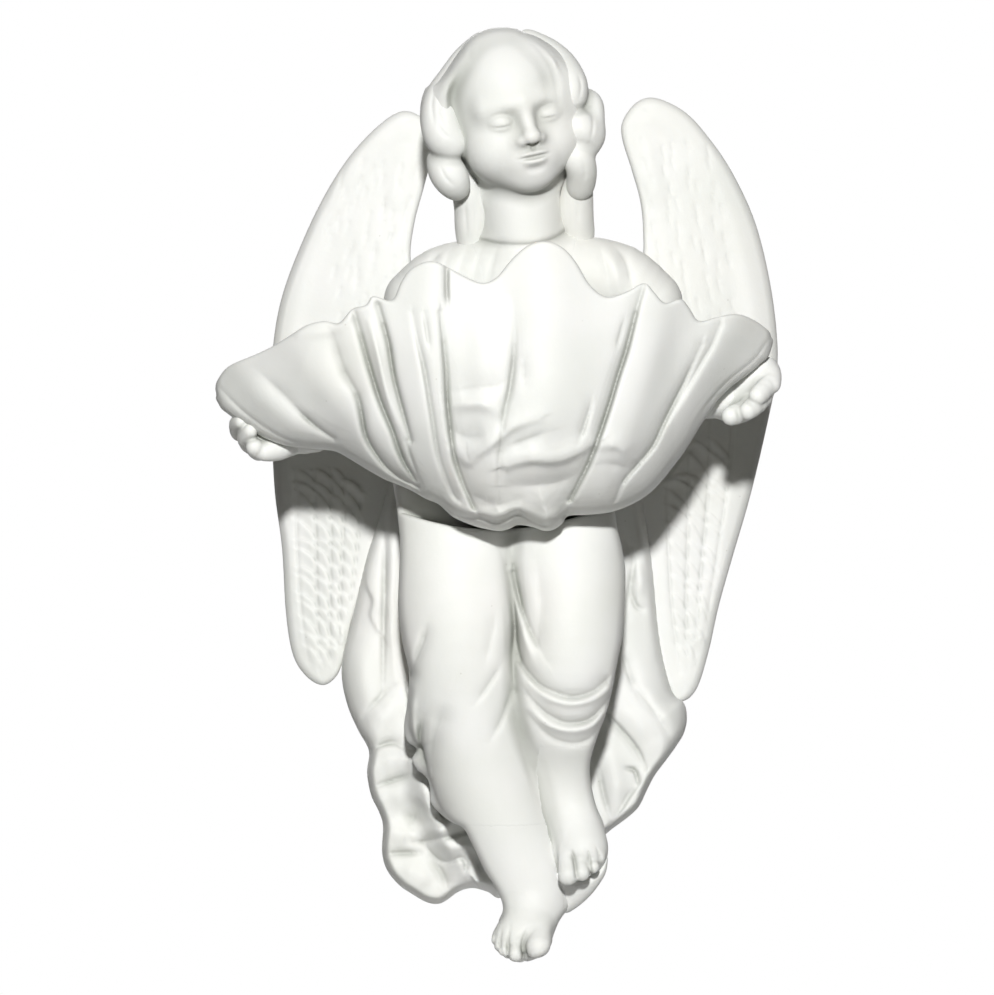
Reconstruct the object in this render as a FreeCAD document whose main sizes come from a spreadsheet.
import FreeCAD, Part
import math
import os
import Sketcher
from FreeCAD import Placement, Rotation, Vector

# Wall-hung holy water stoup: a winged child angel in biscuit porcelain who holds a lobed shell basin.
# Every piece is a casting of its own, luted to its neighbours with slip before firing.
# Frame: the origin is the hanging hole's centre on the wall plane, +Z up, -Y out from the wall.
# "out" means a distance from the wall, "rise" a height above the hole, and "drop" one below it.
# Left and right are those of somebody who faces the stoup.

SIZES = [
    # back plate
    ("plate_wide", 62.0), ("plate_rise", 8.0), ("plate_tall", 166.0), ("plate_thick", 5.0),
    ("plate_corner", 12.0), ("hole_wide", 6.0), ("vent_wide", 9.0), ("vent_drop", 112.0),
    # wings
    ("wing_thick", 4.5), ("wing_out", 9.5), ("wing_bow", 140.0), ("wing_crest", 35.0), ("wing_root", 20.0),
    ("left_wing_reach", 81.5), ("left_wing_rise", 61.5), ("left_wing_tall", 188.0),
    ("right_wing_reach", 84.0), ("right_wing_rise", 65.7), ("right_wing_tall", 197.0),
    # torso casting
    ("torso_shift", 1.5), ("collar_rise", 17.0), ("collar_wide", 30.0), ("collar_deep", 26.0),
    ("collar_out", 38.0), ("shoulder_wide", 85.0), ("shoulder_deep", 44.0), ("shoulder_drop", 2.0),
    ("shoulder_lead", 4.0),
    ("chest_out", 29.0), ("chest_wide", 76.0), ("chest_deep", 48.0), ("chest_drop", 22.0),
    ("waist_wide", 66.0), ("waist_deep", 44.0), ("waist_drop", 42.0), ("torso_tall", 75.0),
    ("torso_wall", 4.5),
    # head casting
    ("neck_wide", 25.0), ("neck_deep", 23.0), ("neck_flare", 2.5), ("spigot_wide", 15.0), ("spigot_long", 7.0),
    ("head_shift", -3.0), ("head_rise", 59.5), ("head_out", 45.0), ("hair_wide", 46.0),
    ("hair_tall", 50.0), ("hair_deep", 46.0), ("face_wide", 34.0), ("face_tall", 44.0),
    ("face_deep", 35.0), ("face_lead", 6.0), ("face_sink", 8.5), ("nose_out", 3.5),
    ("curl_wide", 12.5), ("ringlet_wide", 10.0), ("ringlet_drop", 48.0), ("left_ringlet_lean", 8.0),
    ("right_ringlet_lean", 1.0), ("ringlet_back", 12.0),
    # shell basin
    ("shell_wide", 177.0), ("shell_shift", -8.5), ("shell_out", 110.0), ("shell_tall", 92.0),
    ("shell_foot_drop", 75.0), ("shell_wall", 3.2), ("shell_seat", 1.0), ("lobe_deep", 4.0),
    # sleeves and hands
    ("armpit_drop", 9.0), ("sleeve_wide", 22.0), ("cuff_wide", 13.0), ("elbow_drop", 32.0),
    ("elbow_reach", 49.0), ("elbow_out", 44.0), ("arm_lead", 3.0), ("palm_wide", 15.0), ("palm_thick", 9.0),
    ("finger_wide", 5.4), ("finger_long", 13.0), ("finger_curl", 4.0), ("knuckle_step", 1.2),
    ("left_hand_inset", 17.0), ("left_hand_fall", 4.6), ("right_hand_inset", 9.0), ("right_hand_fall", 9.0),
    ("hand_lead", 12.0), ("wrist_back", 5.0), ("wrist_fall", 1.0),
    # robe
    ("robe_shift", -2.5), ("lap_out", 42.0), ("hip_drop", 72.0), ("hip_out", 46.0), ("thigh_wide", 38.0),
    ("thigh_deep", 39.0), ("leg_spread", 17.0), ("knee_drop", 110.0), ("knee_wide", 36.0), ("knee_deep", 35.0),
    ("knee_out", 52.0), ("drape_wide", 68.0), ("drape_out", 36.0), ("drape_deep", 26.0),
    ("front_hem_drop", 168.0), ("front_hem_wide", 25.0), ("front_hem_shift", -4.0),
    ("rear_hem_drop", 145.0), ("rear_hem_wide", 21.0), ("rear_hem_shift", 13.0), ("hem_out", 45.0),
    ("shank_wide", 36.0), ("fold_deep", 0.9), ("robe_wall", 4.5),
    # legs and feet
    ("front_shin_wide", 24.0), ("front_ankle_wide", 19.0), ("rear_shin_wide", 16.5), ("rear_ankle_wide", 16.0),
    ("front_ankle_drop", 186.0), ("rear_ankle_drop", 171.0), ("front_ankle_shift", 3.5),
    ("rear_ankle_shift", 19.5), ("front_ankle_out", 48.0), ("rear_ankle_out", 43.0), ("front_foot_wide", 20.0),
    ("rear_foot_wide", 17.5), ("foot_long", 31.0), ("foot_thick", 14.0), ("toe_wide", 5.2), ("ledge_fall", 10.0),
    ("ledge_wide", 12.0), ("ledge_tall", 12.0), ("ledge_out", 54.0),
    # mantle
    ("mantle_rise", -20.0), ("mantle_wide", 112.0), ("mantle_tall", 177.0), ("mantle_out", 22.0),
    ("mantle_hem", 7.0), ("mantle_wave", 1.2), ("mantle_folds", 6.0), ("mantle_wall", 4.5), ("flue_foot", 16.0),
]

RING_POINTS = 20
DOME_ANGLES = (40, 70, 85)
ROBE_POINTS = 32
FAR = 400.0
CLEAR = 2.0     # how far a cut runs past the face that it opens

doc = FreeCAD.newDocument("angel_stoup")
sheet = doc.addObject("Spreadsheet::Sheet", "Sheet")
for row, (alias, number) in enumerate(SIZES, start=1):
    sheet.set("A%d" % row, alias)
    sheet.set("B%d" % row, "%g" % number)
    sheet.setAlias("B%d" % row, alias)
doc.recompute()


def size(alias):
    """A driving dimension in millimetres."""
    return float(sheet.get(alias))


def cell(formula):
    """The formula with each alias read from the sheet."""
    aliases = {alias for alias, number in SIZES}
    return " ".join("Sheet." + word if word in aliases else word for word in formula.split())


# ---------------------------------------------------------------- shared shapes

def feature(name, shape):
    """A document object for a form that only a free surface can give."""
    item = doc.addObject("Part::Feature", name)
    item.Shape = shape
    return item


def ring(centre, along, half_wide, half_deep, across=Vector(1, 0, 0)):
    """A smooth closed section across a limb or a garment."""
    course = Vector(along).normalize()
    side = (across - course * course.dot(across)).normalize()
    front = course.cross(side)
    points = []
    for step in range(RING_POINTS):
        turn = 2 * math.pi * step / RING_POINTS
        points.append(centre + side * (half_wide * math.cos(turn)) + front * (half_deep * math.sin(turn)))
    curve = Part.BSplineCurve()
    curve.interpolate(Points=points, PeriodicFlag=True)
    return Part.Wire(curve.toShape())


def limb(stations, across=Vector(1, 0, 0)):
    """A loft through (centre, width, depth) stations, with domed ends."""
    centres = [Vector(place) for place, wide, deep in stations]
    rings = []
    last = len(stations) - 1
    for number, (place, wide, deep) in enumerate(stations):
        course = centres[min(number + 1, last)] - centres[max(number - 1, 0)]
        rings.append(ring(centres[number], course, wide / 2, deep / 2, across))
    for at_end in (False, True):
        place, wide, deep = stations[last] if at_end else stations[0]
        inner = centres[last - 1] if at_end else centres[1]
        course = (Vector(place) - inner).normalize()
        reach = min(wide, deep) / 2
        for angle in DOME_ANGLES:
            lean = math.radians(angle)
            spot = Vector(place) + course * (reach * math.sin(lean))
            along = course if at_end else course * -1
            dome = ring(spot, along, wide / 2 * math.cos(lean), deep / 2 * math.cos(lean), across)
            if at_end:
                rings.append(dome)
            else:
                rings.insert(0, dome)
    return Part.makeLoft(rings, True, False, False, 3)


def outline_slab(points, near, far):
    """A closed smooth outline in the wall's plane, pushed out from one distance to another."""
    curve = Part.BSplineCurve()
    curve.interpolate(Points=[Vector(x, -near, z) for x, z in points], PeriodicFlag=True)
    face = Part.Face(Part.Wire(curve.toShape()))
    return face.extrude(Vector(0, near - far, 0))


def ellipsoid(name, wide, deep, tall, centre):
    """An ellipsoid whose diameters and centre are formulas of the sheet."""
    item = doc.addObject("Part::Ellipsoid", name)
    for prop, formula in (("Radius1", tall), ("Radius2", wide), ("Radius3", deep)):
        item.setExpression(prop, cell(formula) + " / 2")
    item.Angle1 = -90
    item.Angle2 = 90
    for axis, formula in zip("xyz", centre):
        item.setExpression("Placement.Base." + axis, cell(formula))
    return item


def fuse(name, parts):
    joined = doc.addObject("Part::MultiFuse", name)
    joined.Shapes = parts
    return joined


def carve(name, blank, tools):
    """The blank less each neighbour that it is fitted against."""
    result = blank
    for number, tool in enumerate(tools):
        cut = doc.addObject("Part::Cut", "%s_fit_%d" % (name, number + 1))
        cut.Base = result
        cut.Tool = tool
        cut.Refine = False
        result = cut
    result.Label = name
    return result


def origin_plane(body, role):
    return next(item for item in body.Origin.OriginFeatures if item.Role == role)


# ---------------------------------------------------------------- back plate

def bind(sketch, kind, places, formula, value):
    """A dimension of a sketch, driven by the sheet."""
    index = sketch.addConstraint(Sketcher.Constraint(kind, *places, value))
    sketch.setExpression("Constraints[%d]" % index, cell(formula))


def make_back_plate():
    """A flat slab with rounded corners, the hanging hole and a firing vent."""
    body = doc.addObject("PartDesign::Body", "back_plate")
    sketch = body.newObject("Sketcher::SketchObject", "plate_outline")
    sketch.AttachmentSupport = [(origin_plane(body, "XZ_Plane"), "")]
    sketch.MapMode = "FlatFace"
    half = size("plate_wide") / 2
    top = size("plate_rise")
    tall = size("plate_tall")
    corners = [(-half, top - tall), (half, top - tall), (half, top), (-half, top)]
    for number in range(4):
        start = Vector(*corners[number], 0)
        end = Vector(*corners[(number + 1) % 4], 0)
        sketch.addGeometry(Part.LineSegment(start, end), False)
    for number in range(4):
        sketch.addConstraint(Sketcher.Constraint("Coincident", number, 2, (number + 1) % 4, 1))
        sketch.addConstraint(Sketcher.Constraint("Vertical" if number % 2 else "Horizontal", number))
    bind(sketch, "DistanceX", (0, 1, 0, 2), "plate_wide", 2 * half)
    bind(sketch, "DistanceY", (1, 1, 1, 2), "plate_tall", tall)
    bind(sketch, "DistanceX", (-1, 1, 2, 1), "plate_wide / 2", half)
    bind(sketch, "DistanceY", (-1, 1, 2, 1), "plate_rise", top)
    pad = body.newObject("PartDesign::Pad", "plate_pad")
    pad.Profile = sketch
    pad.setExpression("Length", cell("plate_thick"))
    doc.recompute()
    upright = ["Edge%d" % (number + 1) for number, edge in enumerate(pad.Shape.Edges)
               if abs(edge.tangentAt(edge.FirstParameter).y) > 0.99]
    rounding = body.newObject("PartDesign::Fillet", "plate_rounding")
    rounding.Base = (pad, upright)
    rounding.setExpression("Radius", cell("plate_corner"))
    holes = body.newObject("Sketcher::SketchObject", "plate_holes")
    holes.AttachmentSupport = [(origin_plane(body, "XZ_Plane"), "")]
    holes.MapMode = "FlatFace"
    for number, (wide, fall) in enumerate((("hole_wide", 0.0), ("vent_wide", size("vent_drop")))):
        holes.addGeometry(Part.Circle(Vector(0, -fall, 0), Vector(0, 0, 1), size(wide) / 2), False)
        bind(holes, "Diameter", (number,), wide, size(wide))
    holes.addConstraint(Sketcher.Constraint("Coincident", 0, 3, -1, 1))
    holes.addConstraint(Sketcher.Constraint("PointOnObject", 1, 3, -2))
    bind(holes, "DistanceY", (1, 3, -1, 1), "vent_drop", size("vent_drop"))
    pocket = body.newObject("PartDesign::Pocket", "plate_bores")
    pocket.Profile = holes
    pocket.Type = "ThroughAll"
    pocket.Midplane = True
    body.Tip = pocket
    return body


# ---------------------------------------------------------------- wings

# The wings' outlines: share of the reach from the root, share of the height from the tip.
LEFT_WING = [(0.13, 0.68), (0.25, 0.75), (0.19, 0.87), (0.13, 0.94), (0.17, 0.985), (0.30, 1.0), (0.43, 0.975),
             (0.58, 0.92), (0.73, 0.845), (0.86, 0.75), (0.945, 0.67), (1.0, 0.52), (0.975, 0.33), (0.94, 0.24),
             (0.92, 0.125), (0.88, 0.055), (0.81, 0.017), (0.73, 0.0), (0.67, 0.01), (0.62, 0.04),
             (0.57, 0.115), (0.46, 0.22), (0.32, 0.34), (0.13, 0.47)]
RIGHT_WING = [(0.13, 0.68), (0.29, 0.74), (0.31, 0.79), (0.30, 0.83), (0.25, 0.885), (0.205, 0.935),
              (0.22, 0.97), (0.29, 0.995), (0.38, 1.0), (0.53, 0.976), (0.65, 0.933), (0.77, 0.876),
              (0.88, 0.80), (0.955, 0.71), (1.0, 0.58), (0.94, 0.45), (0.86, 0.337), (0.78, 0.246),
              (0.65, 0.084), (0.595, 0.024), (0.53, 0.0), (0.47, 0.005), (0.405, 0.05), (0.35, 0.15),
              (0.29, 0.29), (0.13, 0.44)]


def make_wing(name, side, outline, reach, rise, tall):
    """A folded wing: an outlined slab bowed about an upright axis."""
    root = size("wing_root")
    points = []
    for across, up in outline:
        points.append((side * (root + (reach - root) * across), rise - tall * (1 - up)))
    slab = outline_slab(points, 0, FAR)
    bow = size("wing_bow")
    thick = size("wing_thick")
    centre = Vector(side * size("wing_crest"), bow - size("wing_out") - thick, -FAR)
    outer = Part.makeCylinder(bow, 2 * FAR, centre)
    inner = Part.makeCylinder(bow - thick, 2 * FAR, centre)
    return feature(name, slab.common(outer.cut(inner)))


def make_wing_shadow(name, side):
    """The room that a wing and the wall behind it take outside the wing's root."""
    bow = size("wing_bow")
    centre = Vector(side * size("wing_crest"), bow - size("wing_out") - size("wing_thick"), -FAR)
    outer = Part.makeCylinder(bow, 2 * FAR, centre)
    corner = Vector(size("wing_root"), -FAR, -FAR)
    if side < 0:
        corner.x = -size("wing_root") - FAR
    return feature(name, outer.common(Part.makeBox(FAR, 2 * FAR, 2 * FAR, corner)))


# ---------------------------------------------------------------- torso

def torso_stations(inset):
    """Level sections of the bodice from the collar to the hips."""
    shift = size("torso_shift")
    foot = size("collar_rise") - size("torso_tall")
    levels = [
        (size("collar_rise"), size("collar_wide"), size("collar_deep"), size("collar_out")),
        ((size("collar_rise") - size("shoulder_drop")) / 2, size("shoulder_wide") * 0.76,
         size("shoulder_deep") * 0.70, size("chest_out") + size("shoulder_lead")),
        (-size("shoulder_drop"), size("shoulder_wide"), size("shoulder_deep"), size("chest_out")),
        (-size("chest_drop"), size("chest_wide"), size("chest_deep"), size("chest_out")),
        (-size("waist_drop"), size("waist_wide"), size("waist_deep"), size("chest_out")),
        (foot, size("waist_wide"), size("waist_deep"), size("chest_out")),
    ]
    return [((shift, -out, level), wide - 2 * inset, deep - 2 * inset) for level, wide, deep, out in levels]


def make_torso_form():
    stations = torso_stations(0.0)
    rings = [ring(Vector(place), Vector(0, 0, -1), wide / 2, deep / 2) for place, wide, deep in stations]
    return feature("torso_form", Part.makeLoft(rings, True, False, False, 3))


def make_torso_room():
    """The hollow that slip casting leaves: closed at the shoulders, open at the waist and to the plate."""
    stations = torso_stations(size("torso_wall"))[1:]
    foot, wide, deep = stations[-1]
    stations.append(((foot[0], foot[1], foot[2] - CLEAR), wide, deep))
    rings = [ring(Vector(place), Vector(0, 0, -1), wide / 2, deep / 2) for place, wide, deep in stations]
    return feature("torso_room", Part.makeLoft(rings, True, False, False, 3))


# ---------------------------------------------------------------- head

def make_head_parts():
    """Skull with its hair, face and neck as one casting; the side curls and ringlets are separate."""
    crown = ellipsoid("crown", "hair_wide", "hair_deep", "hair_tall",
                      ("head_shift", "-1 * head_out", "head_rise"))
    face = ellipsoid("face", "face_wide", "face_deep", "face_tall",
                     ("head_shift + 1", "-1 * head_out - face_lead", "head_rise - face_sink"))
    neck_top = Vector(size("head_shift") + 1, -size("head_out"), size("head_rise") - size("face_sink"))
    neck_foot = Vector(size("torso_shift"), -size("collar_out"), size("collar_rise") - size("spigot_long") / 2)
    middle = (neck_top + neck_foot) * 0.5
    wide = size("neck_wide")
    deep = size("neck_deep")
    flare = size("neck_flare")
    rings = [ring(neck_foot, Vector(0, 0, 1), wide / 2 + flare, deep / 2 + flare / 2),
             ring(middle, Vector(0, 0, 1), wide / 2, deep / 2),
             ring(neck_top, Vector(0, 0, 1), wide / 2, deep / 2)]
    neck = feature("neck", Part.makeLoft(rings, True, False, False, 3))
    nose = ellipsoid("nose", "face_wide / 6", "face_deep / 5", "face_tall / 4.5",
                     ("head_shift + 1", "-1 * head_out - face_lead - face_deep / 2 + nose_out / 2",
                      "head_rise - face_sink - face_tall / 12"))
    return [crown, face, neck, nose]


# Rolls of hair at each side: their places as shares of half the hair's width and of its height, then
# their widths and heights as shares of a roll's girth.
LEFT_CURLS = [(-0.94, -0.11, 1.0, 1.75), (-0.84, -0.42, 1.0, 1.35)]
RIGHT_CURLS = [(0.80, 0.11, 0.86, 1.30), (1.02, -0.09, 0.76, 1.90), (0.94, -0.37, 0.78, 1.35)]


def make_curls(name, places):
    """Soft rolls of hair beside the face, one above the other."""
    rolls = []
    for number, (spread, up, girth, tall) in enumerate(places, start=1):
        wide = "curl_wide * %g" % girth
        centre = ("head_shift + hair_wide / 2 * %g" % spread, "-1 * head_out - hair_deep * 0.18",
                  "head_rise + hair_tall * %g" % up)
        rolls.append(ellipsoid("%s_roll_%d" % (name, number), wide, "curl_wide * 1.1",
                               "curl_wide * %g" % tall, centre))
    return fuse(name, rolls)


def make_ringlet(name, side, lean):
    """A lock that falls behind the neck onto the shoulder."""
    wide = size("ringlet_wide")
    top = size("head_rise") - size("hair_tall") * 0.3
    reach = size("hair_wide") / 2 * 0.9
    foot = size("head_rise") - size("ringlet_drop")
    stations = []
    for step in range(5):
        share = step / 4
        girth = wide * (1 + 0.12 * math.cos(2 * math.pi * share * 2))
        place = Vector(size("head_shift") + side * reach + lean * share,
                       -size("head_out") + size("ringlet_back") * share, top + (foot - top) * share)
        stations.append((place, girth, girth * 1.1))
    return feature(name, limb(stations))


# ---------------------------------------------------------------- shell basin

# Rim of the basin seen from the front: places along its width, and height above its left tip, and the
# left tip's height above the foot, all as shares of the shell's width.
RIM_LEFT = 0.240
SHELL_RIM = [(0.012, 0.026), (0.070, 0.066), (0.135, 0.098), (0.20, 0.122), (0.25, 0.143), (0.285, 0.162),
             (0.315, 0.156), (0.350, 0.210), (0.385, 0.218), (0.430, 0.206), (0.477, 0.184), (0.520, 0.212),
             (0.580, 0.255), (0.630, 0.222), (0.690, 0.160), (0.720, 0.170), (0.752, 0.184), (0.790, 0.150),
             (0.820, 0.157), (0.850, 0.121), (0.885, 0.128), (0.920, 0.134), (0.975, 0.108)]

# Level sections of the bowl: share of the height, left and right reach as shares of the width,
# and how far the section runs from the back seat to the front, both as shares of the depth.
BOWL_LEVELS = [(0.0, -0.035, 0.135, 0.24, 0.56), (0.055, -0.110, 0.200, 0.13, 0.72),
               (0.14, -0.165, 0.275, 0.05, 0.885), (0.25, -0.275, 0.335, 0.0, 0.945),
               (0.37, -0.420, 0.385, 0.0, 0.975), (0.50, -0.495, 0.430, 0.0, 0.98),
               (0.66, -0.498, 0.495, 0.0, 0.975), (0.83, -0.480, 0.515, 0.0, 0.975),
               (1.0, -0.460, 0.510, 0.0, 0.96)]
BOWL_POINTS = 56

# Lobes of the bowl, and the creases between them with a height below zero: place along the half turn
# from left to right, height as a share of the lobes' depth, and spread along the turn.
LOBES = [(0.20, 0.35, 0.05), (0.275, -0.35, 0.03), (0.335, -0.75, 0.022), (0.385, -0.60, 0.022),
         (0.420, 0.35, 0.03), (0.455, -0.60, 0.022), (0.500, 0.15, 0.03), (0.560, 0.50, 0.05),
         (0.665, -0.70, 0.024), (0.705, 0.30, 0.03), (0.758, -0.25, 0.022), (0.815, 0.35, 0.035),
         (0.88, -0.25, 0.03)]
LOBE_RISE = 1.6     # how fast the lobes deepen up the bowl


def shell_back():
    """Distance from the wall to the back of the basin, which leans on the chest."""
    return size("chest_out") + size("chest_deep") / 2 - size("shell_seat")


def bowl_section(level, left, right, near, far, inset):
    """A lobed half oval closed by a straight back."""
    wide = size("shell_wide")
    deep = size("shell_out") - shell_back()
    rise = size("shell_tall") * level - size("shell_foot_drop")
    low = size("shell_shift") + wide * left + inset
    high = size("shell_shift") + wide * right - inset
    back = shell_back() + deep * near + inset
    front = shell_back() + deep * far - inset
    middle = (low + high) / 2
    half = (high - low) / 2
    points = []
    for step in range(BOWL_POINTS + 1):
        share = step / BOWL_POINTS
        turn = math.pi * share
        lobe = sum(tall * math.exp(-((share - place) / spread) ** 2) for place, tall, spread in LOBES)
        lobe *= size("lobe_deep") * min(1.0, 0.25 + level * LOBE_RISE)
        x = middle - half * math.cos(turn)
        y = -back - (front - back + lobe) * math.sin(turn)
        points.append(Vector(x, y, rise))
    curve = Part.BSplineCurve()
    curve.interpolate(Points=points)
    closing = Part.LineSegment(points[-1], points[0])
    return Part.Wire([curve.toShape(), closing.toShape()])


def bowl_form(inset, floor_lift):
    form = Part.makeLoft([bowl_section(*level, inset) for level in BOWL_LEVELS], True, False, False, 3)
    form.translate(Vector(0, 0, floor_lift))
    return form


def make_shell_forms():
    outer = bowl_form(0.0, 0.0)
    inner = bowl_form(size("shell_wall"), size("shell_wall") * 1.2)
    wide = size("shell_wide")
    left = size("shell_shift") - wide / 2
    tip_rise = -size("shell_foot_drop") + wide * RIM_LEFT
    rim = [Vector(left + wide * across, 0, tip_rise + wide * up) for across, up in SHELL_RIM]
    curve = Part.BSplineCurve()
    curve.interpolate(Points=rim)
    sky = FAR / 2
    border = [Vector(rim[-1].x + sky, 0, rim[-1].z), Vector(rim[-1].x + sky, 0, sky),
              Vector(rim[0].x - sky, 0, sky), Vector(rim[0].x - sky, 0, rim[0].z), rim[0]]
    edges = [curve.toShape()]
    last = rim[-1]
    for corner in border:
        edges.append(Part.LineSegment(last, corner).toShape())
        last = corner
    above = Part.Face(Part.Wire(edges)).extrude(Vector(0, -FAR, 0))
    solid = outer.cut(above)
    basin = outer.cut(inner).cut(above)
    return feature("shell_form", solid), feature("shell_blank", basin)


def bowl_underside(side, x):
    """Height of the basin's outer skin at a place along its width."""
    reach = (x - size("shell_shift")) / size("shell_wide")
    heights = [(side * (left if side < 0 else right), level) for level, left, right, near, far in BOWL_LEVELS]
    for (start, low), (end, high) in zip(heights, heights[1:]):
        if start <= side * reach <= end:
            level = low + (high - low) * (side * reach - start) / (end - start)
            return level * size("shell_tall") - size("shell_foot_drop")
    return size("shell_tall") / 2 - size("shell_foot_drop")


# ---------------------------------------------------------------- sleeves and hands

def hand_place(side):
    """A palm's centre: in from the basin's tip and down from the basin's outer skin."""
    name = "left" if side < 0 else "right"
    x = size("shell_shift") + side * (size("shell_wide") / 2 - size(name + "_hand_inset"))
    return Vector(x, -shell_back() - size("hand_lead"), bowl_underside(side, x) - size(name + "_hand_fall"))


def make_sleeve(name, side):
    """From the shoulder down to the elbow and out to the wrist."""
    wide = size("sleeve_wide")
    cuff = size("cuff_wide")
    shoulder = Vector(size("torso_shift") + side * (size("shoulder_wide") / 2 - wide * 0.42),
                      -size("chest_out") - size("arm_lead"), -size("armpit_drop"))
    elbow = Vector(side * size("elbow_reach"), -size("elbow_out"), -size("elbow_drop"))
    wrist = hand_place(side) + Vector(-side * size("palm_wide") * 0.55, size("wrist_back"), -size("wrist_fall"))
    upper = shoulder * 0.5 + elbow * 0.5
    fore = elbow * 0.45 + wrist * 0.55
    stations = [(shoulder, wide, wide), (upper, wide, wide), (elbow, wide * 0.86, wide * 0.86),
                (fore, wide * 0.72, wide * 0.72), (wrist, cuff, cuff)]
    return feature(name, limb(stations, across=Vector(0, 1, 0)))


def make_hand(name, side):
    """A palm under the shell's tip, and four fingers curled up round it."""
    palm = hand_place(side)
    wide = size("palm_wide")
    thick = size("palm_thick")
    start = palm + Vector(-side * wide * 0.6, size("wrist_back"), -size("wrist_fall"))
    end = palm + Vector(side * wide * 0.25, -thick * 0.22, 0)
    shape = limb([(start, thick * 1.2, thick * 1.2), ((start + end) * 0.5, wide, thick * 1.1),
                  (end, wide, thick)], across=Vector(0, 1, 0))
    finger = size("finger_wide")
    long = size("finger_long")
    curl = size("finger_curl")
    drop = size("knuckle_step")
    for number in range(4):
        root = palm + Vector(side * (wide * 0.42 - number * finger * 0.95), -curl - drop * 0.4 * number,
                             -drop * number)
        bend = root + Vector(side * curl / 2, -long * 0.45, -curl / 2)
        tip = bend + Vector(side * curl / 8, -long * 0.35, curl)
        shape = shape.fuse(limb([(root, finger, finger), (bend, finger * 1.08, finger * 1.08),
                                 (tip, finger * 0.85, finger * 0.85)]))
    return feature(name, shape)


# ---------------------------------------------------------------- robe and legs

def reach_of_oval(centre, heading, oval):
    """How far along a heading an oval's edge lies from a centre, or nothing where the ray misses it."""
    x, out, wide, deep = oval
    ux = heading[0] / (wide / 2)
    uy = heading[1] / (deep / 2)
    px = (centre[0] - x) / (wide / 2)
    py = (centre[1] + out) / (deep / 2)
    square = ux * ux + uy * uy
    mixed = px * ux + py * uy
    root = mixed * mixed - square * (px * px + py * py - 1)
    if root < 0:
        return 0.0
    return max(0.0, (-mixed + math.sqrt(root)) / square)


def draped_section(level, ovals, drape):
    """A level section of cloth drawn round both legs and a flat drape behind them, with a shallow valley
    between the legs."""
    centre = (sum(oval[0] for oval in ovals) / len(ovals), -sum(oval[1] for oval in ovals) / len(ovals))
    x, out, wide, deep = ovals[0]
    web = (centre[0], -centre[1], 0.6 * wide, 0.72 * deep)
    points = []
    for step in range(ROBE_POINTS):
        turn = 2 * math.pi * step / ROBE_POINTS
        heading = (math.cos(turn), math.sin(turn))
        spans = [reach_of_oval(centre, heading, oval) for oval in ovals + [web, drape]]
        span = sum(value ** 6 for value in spans) ** (1 / 6)
        span += size("fold_deep") * math.cos(7 * turn)
        points.append(Vector(centre[0] + span * heading[0], centre[1] + span * heading[1], level))
    curve = Part.BSplineCurve()
    curve.interpolate(Points=points, PeriodicFlag=True)
    return Part.Wire(curve.toShape())


def make_robe_forms():
    """The skirt, cloth that runs over both thighs and knees and ends in two hems, and its hollow."""
    waist = size("torso_tall") - size("collar_rise")
    hip = size("hip_drop")
    knee = size("knee_drop")
    spread = size("leg_spread")
    shift = size("robe_shift")
    thigh = (size("thigh_wide"), size("thigh_deep"))
    knee_oval = (size("knee_wide"), size("knee_deep"))
    rear = size("rear_hem_wide")
    shank = size("shank_wide")
    rear_hem = size("rear_hem_drop")
    hem_out = size("hem_out")
    lap = size("lap_out")
    hip_out = size("hip_out")
    knee_out = size("knee_out")
    middle_out = (hip_out + knee_out) / 2
    front_top = (shift - spread + 4, hem_out + 3, shank, size("knee_deep") * 0.8)
    rear_end = (size("rear_hem_shift"), hem_out, rear, rear)
    drape_wide = size("drape_wide")
    drape_out = size("drape_out")
    drape_deep = size("drape_deep")
    levels = [
        (waist, (shift - spread + 3, lap, *thigh), (shift + spread - 1, lap, *thigh), 1.0),
        (hip, (shift - spread + 1, hip_out, *thigh), (shift + spread, hip_out, *thigh), 1.0),
        ((hip + knee) / 2, (shift - spread, middle_out, *thigh), (shift + spread, middle_out, *thigh), 1.0),
        (knee, (shift - spread, knee_out, *knee_oval), (shift + spread, knee_out, *knee_oval), 1.0),
        ((knee + rear_hem) / 2, (shift - spread + 1, knee_out - 2, knee_oval[0], knee_oval[1] * 0.95),
         (shift + spread - 1, knee_out - 2, knee_oval[0] * 0.84, knee_oval[1] * 0.9), 0.9),
        (rear_hem, front_top, rear_end, 0.68),
    ]

    def section(drop, left, right, share, inset):
        ovals = [(x, out, wide - inset, deep - inset) for x, out, wide, deep in (left, right)]
        drape = (shift, drape_out, drape_wide * share - inset, drape_deep - inset)
        return draped_section(-drop, ovals, drape)

    skirt = Part.makeLoft([section(*level, 0.0) for level in levels], True, False, False, 3)
    top = levels[0]
    room_levels = [(waist - CLEAR, *top[1:])] + levels[:4]
    room = Part.makeLoft([section(*level, 2 * size("robe_wall")) for level in room_levels],
                         True, False, False, 3)
    x, out, wide, deep = front_top
    foot_x, foot_y, foot_z = hem_place("front")
    front = size("front_hem_wide")
    down = Vector(0, 0, -1)
    middle = Vector((x + foot_x) / 2 - 1, (foot_y - out) / 2, (foot_z - rear_hem) / 2)
    tail_rings = [ring(Vector(x, -out, 2 * CLEAR - rear_hem), down, wide / 2 - 0.5, deep / 2 - 1),
                  ring(middle, down, (wide + front) / 4, (deep + front) / 4),
                  ring(Vector(foot_x, foot_y, foot_z), down, front / 2, front / 2)]
    tail = Part.makeLoft(tail_rings, True, False, False, 3)
    return feature("robe_form", skirt.fuse(tail)), feature("robe_room", room)


def hem_place(which):
    """Where a leg leaves the robe."""
    return (size(which + "_hem_shift"), -size("hem_out"), -size(which + "_hem_drop"))


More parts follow.
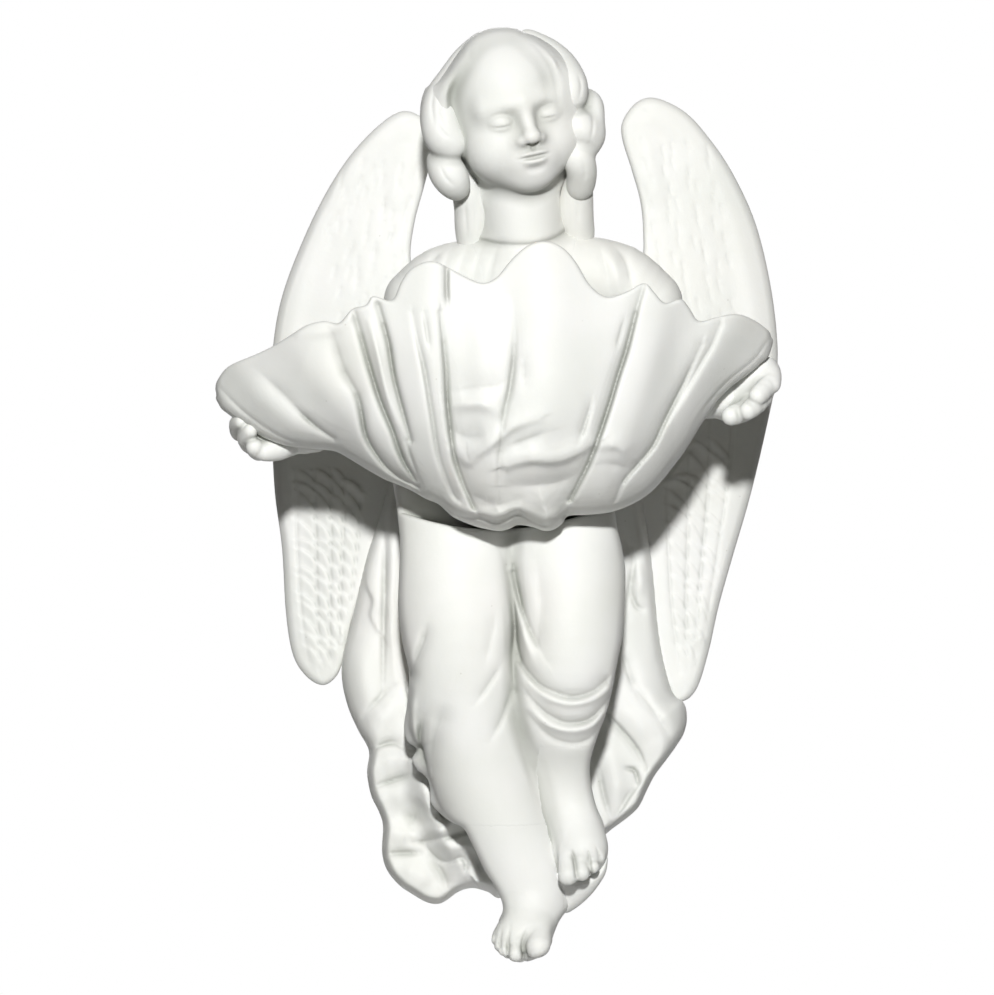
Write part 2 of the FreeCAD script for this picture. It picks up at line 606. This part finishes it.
# The ways that the feet point, and the toes from the big one on: girth and reach as shares of a toe's
# width and the foot's length.
FRONT_TOE_COURSE = Vector(-3, -17, -20)
REAR_TOE_COURSE = Vector(0, -20, -13)
TOES = [(1.25, 0.34), (1.0, 0.33), (0.95, 0.30), (0.9, 0.26), (0.82, 0.21)]


def make_leg(name, which, toe_course, inner_side):
    """Shin, ankle and foot as one casting, flat where it meets the hem, with five toes."""
    shin = size(which + "_shin_wide")
    wide = size(which + "_ankle_wide")
    top = Vector(*hem_place(which))
    ankle = Vector(size(which + "_ankle_shift"), -size(which + "_ankle_out"),
                   -size(which + "_ankle_drop"))
    course = Vector(toe_course).normalize()
    long = size("foot_long")
    thick = size("foot_thick")
    broad = size(which + "_foot_wide")
    down = Vector(0, 0, -1)
    middle = top * 0.5 + ankle * 0.5
    rings = [ring(top, down, shin / 2, shin / 2), ring(middle, down, shin / 2, shin * 0.51),
             ring(ankle, down, wide / 2, wide * 0.52),
             ring(ankle + Vector(0, 1, -wide * 0.35), down, wide * 0.34, wide * 0.36)]
    shape = Part.makeLoft(rings, True, False, False, 3)
    ball = ankle + course * (0.72 * long)
    foot = limb([(ankle + course * (0.05 * long), wide * 0.94, thick * 1.15),
                 (ankle + course * (0.38 * long), broad * 0.9, thick), (ball, broad, thick * 0.72)])
    shape = shape.fuse(foot)
    toe = size("toe_wide")
    for number, (girth, reach) in enumerate(TOES):
        across = Vector(inner_side * (2 - number) * broad * 0.205, 0, 0)
        toe_girth = toe * girth
        root = ball + across * 0.92
        tip = ball + course * (reach * long) + across
        shape = shape.fuse(limb([(root, toe_girth, toe_girth), (tip, toe_girth, toe_girth * 0.85)]))
    return feature(name + "_form", shape)


def make_ledge_form():
    """The small clay support from the cloth to the sole of the raised foot."""
    x = size("rear_ankle_shift") + 1.5
    top = -size("rear_ankle_drop") - size("ledge_fall")
    wide = size("ledge_wide")
    tall = size("ledge_tall")
    near = size("mantle_out") - 4
    far = size("ledge_out")
    shape = limb([((x - 2, -near, top - tall * 0.2), wide * 1.2, tall * 1.2),
                  ((x - 1, -(near + far) / 2, top - tall * 0.35), wide * 1.1, tall * 1.1),
                  ((x, -far, top - tall * 0.6), wide, tall)])
    return feature("ledge_form", shape)


# ---------------------------------------------------------------- mantle

# Level sections of the hanging cloth: share of its height from the top, left and right reach as shares
# of half its width, and how far it stands out as a share of its depth.
MANTLE_LEVELS = [(0.0, -0.70, 0.66, 0.85), (0.13, -0.74, 0.69, 0.85), (0.26, -0.80, 0.72, 0.85),
                 (0.37, -0.90, 0.77, 0.88), (0.48, -0.98, 0.80, 0.92), (0.56, -1.02, 0.84, 0.96),
                 (0.61, -1.02, 0.89, 1.0), (0.66, -0.97, 0.96, 1.0), (0.71, -0.90, 0.92, 1.06),
                 (0.765, -0.89, 0.79, 1.12), (0.82, -0.84, 0.69, 1.06), (0.875, -0.80, 0.50, 1.12),
                 (0.935, -0.77, 0.16, 1.15), (0.975, -0.70, -0.02, 0.98), (1.0, -0.56, -0.20, 0.62)]
MANTLE_POINTS = 40


def mantle_section(down, left, right, swell):
    """A level section of the cloth: flat on the wall side, folded in front, thinner at its hems."""
    half = size("mantle_wide") / 2
    hem = size("mantle_hem")
    back = size("plate_thick")
    rise = size("mantle_rise") - size("mantle_tall") * down
    points = []
    for step in range(MANTLE_POINTS + 1):
        share = step / MANTLE_POINTS
        inward = math.sqrt(1 - (2 * share - 1) ** 4)
        fold = size("mantle_wave") * math.cos(2 * math.pi * share * size("mantle_folds"))
        out = back + hem + ((size("mantle_out") - back - hem) * swell + fold) * inward
        points.append(Vector(half * (left + (right - left) * share), -out, rise))
    curve = Part.BSplineCurve()
    curve.interpolate(Points=points)
    corners = [points[-1], Vector(points[-1].x, -back, rise), Vector(points[0].x, -back, rise), points[0]]
    edges = [curve.toShape()]
    for start, end in zip(corners, corners[1:]):
        edges.append(Part.LineSegment(start, end).toShape())
    return Part.Wire(edges)


def make_mantle_form():
    """A hanging cloth with folds behind the figure, drawn in and out down its hems."""
    return feature("mantle_form", Part.makeLoft([mantle_section(*level) for level in MANTLE_LEVELS],
                                                True, False, False, 3))


# ---------------------------------------------------------------- assembly

def build():
    plate = make_back_plate()
    wall_room = doc.addObject("Part::Box", "wall_room")
    wall_room.Length = FAR
    wall_room.Width = FAR
    wall_room.Height = 2 * FAR
    wall_room.Placement = Placement(Vector(-FAR / 2, 0, -FAR), Rotation())
    wall_room.setExpression("Placement.Base.y", cell("-1 * plate_thick"))
    flue = doc.addObject("Part::Box", "mantle_flue")
    flue.setExpression("Length", cell("2 * wing_root - 2 * mantle_wall"))
    flue.setExpression("Width", cell("mantle_out - mantle_wave - mantle_wall"))
    flue.setExpression("Height", cell("vent_drop + flue_foot + mantle_rise"))
    flue.setExpression("Placement.Base.x", cell("mantle_wall - wing_root"))
    flue.setExpression("Placement.Base.y", cell("mantle_wall + mantle_wave - mantle_out"))
    flue.setExpression("Placement.Base.z", cell("-1 * vent_drop - flue_foot"))

    torso_form = make_torso_form()
    torso_room = make_torso_room()
    left_wing = make_wing("wing_left_form", -1, LEFT_WING, size("left_wing_reach"), size("left_wing_rise"),
                          size("left_wing_tall"))
    right_wing = make_wing("wing_right_form", 1, RIGHT_WING, size("right_wing_reach"), size("right_wing_rise"),
                           size("right_wing_tall"))
    left_shadow = make_wing_shadow("wing_left_shadow", -1)
    right_shadow = make_wing_shadow("wing_right_shadow", 1)
    mantle_form = make_mantle_form()
    robe_form, robe_room = make_robe_forms()
    front_leg = make_leg("leg_front", "front", FRONT_TOE_COURSE, 1)
    rear_leg = make_leg("leg_rear", "rear", REAR_TOE_COURSE, -1)
    ledge_form = make_ledge_form()
    shell_form, shell_blank = make_shell_forms()

    spigot = doc.addObject("Part::Cylinder", "neck_spigot")
    spigot.setExpression("Radius", cell("spigot_wide / 2"))
    spigot.setExpression("Height", cell("spigot_long + 4"))
    spigot.setExpression("Placement.Base.x", cell("torso_shift"))
    spigot.setExpression("Placement.Base.y", cell("-1 * collar_out"))
    spigot.setExpression("Placement.Base.z", cell("collar_rise - spigot_long"))
    head_form = fuse("head_form", make_head_parts())

    pieces = [plate]
    pieces.append(carve("torso", torso_form, [torso_room, wall_room, spigot]))
    pieces.append(carve("wing_left", left_wing, [torso_form]))
    pieces.append(carve("wing_right", right_wing, [torso_form]))
    pieces.append(carve("mantle", mantle_form, [torso_form, left_shadow, right_shadow, flue]))
    pieces.append(carve("robe_skirt", robe_form, [robe_room, mantle_form, shell_form]))
    pieces.append(carve("leg_front", front_leg, [mantle_form]))
    pieces.append(carve("leg_rear", rear_leg, [mantle_form, front_leg]))
    pieces.append(carve("foot_ledge", ledge_form, [rear_leg, mantle_form]))
    head_rest = carve("head_rest", head_form, [torso_form])
    head = fuse("head_and_spigot", [head_rest, spigot])
    head.Label = "head"
    pieces.append(head)
    for name, side, places in (("left", -1, LEFT_CURLS), ("right", 1, RIGHT_CURLS)):
        curls = make_curls("curls_%s_form" % name, places)
        ringlet = make_ringlet("ringlet_%s_form" % name, side, size(name + "_ringlet_lean"))
        pieces.append(carve("side_curls_" + name, curls, [head_form]))
        pieces.append(carve("ringlet_" + name, ringlet, [head_form, curls, torso_form]))
        sleeve = make_sleeve("sleeve_%s_form" % name, side)
        hand = make_hand("hand_%s_form" % name, side)
        pieces.append(carve("sleeve_" + name, sleeve, [torso_form, shell_form, mantle_form]))
        pieces.append(carve("hand_" + name, hand, [shell_form, sleeve]))
    pieces.append(carve("shell_basin", shell_blank, [torso_form]))
    doc.recompute()
    return pieces


def check(pieces):
    """Name what is broken in the document or in a piece."""
    faults = [item.Name for item in doc.Objects if {"Invalid", "Error"} & set(item.State)]
    for piece in pieces:
        shape = piece.Shape
        if shape.isNull() or not shape.isValid() or len(shape.Solids) != 1 or shape.Volume <= 0:
            faults.append("%s (%d solids)" % (piece.Label, 0 if shape.isNull() else len(shape.Solids)))
    return faults


def export(pieces):
    os.makedirs("parts", exist_ok=True)
    for piece in pieces:
        box = piece.Shape.optimalBoundingBox(False)
        print("%-18s %8.0f mm3  x %6.1f %6.1f  y %6.1f %6.1f  z %6.1f %6.1f" % (
            piece.Label, piece.Shape.Volume, box.XMin, box.XMax, box.YMin, box.YMax, box.ZMin, box.ZMax))
        piece.Shape.exportStep("parts/%s.step" % piece.Label)


pieces = build()
faults = check(pieces)
if faults:
    raise SystemExit("broken: " + ", ".join(faults))
export(pieces)
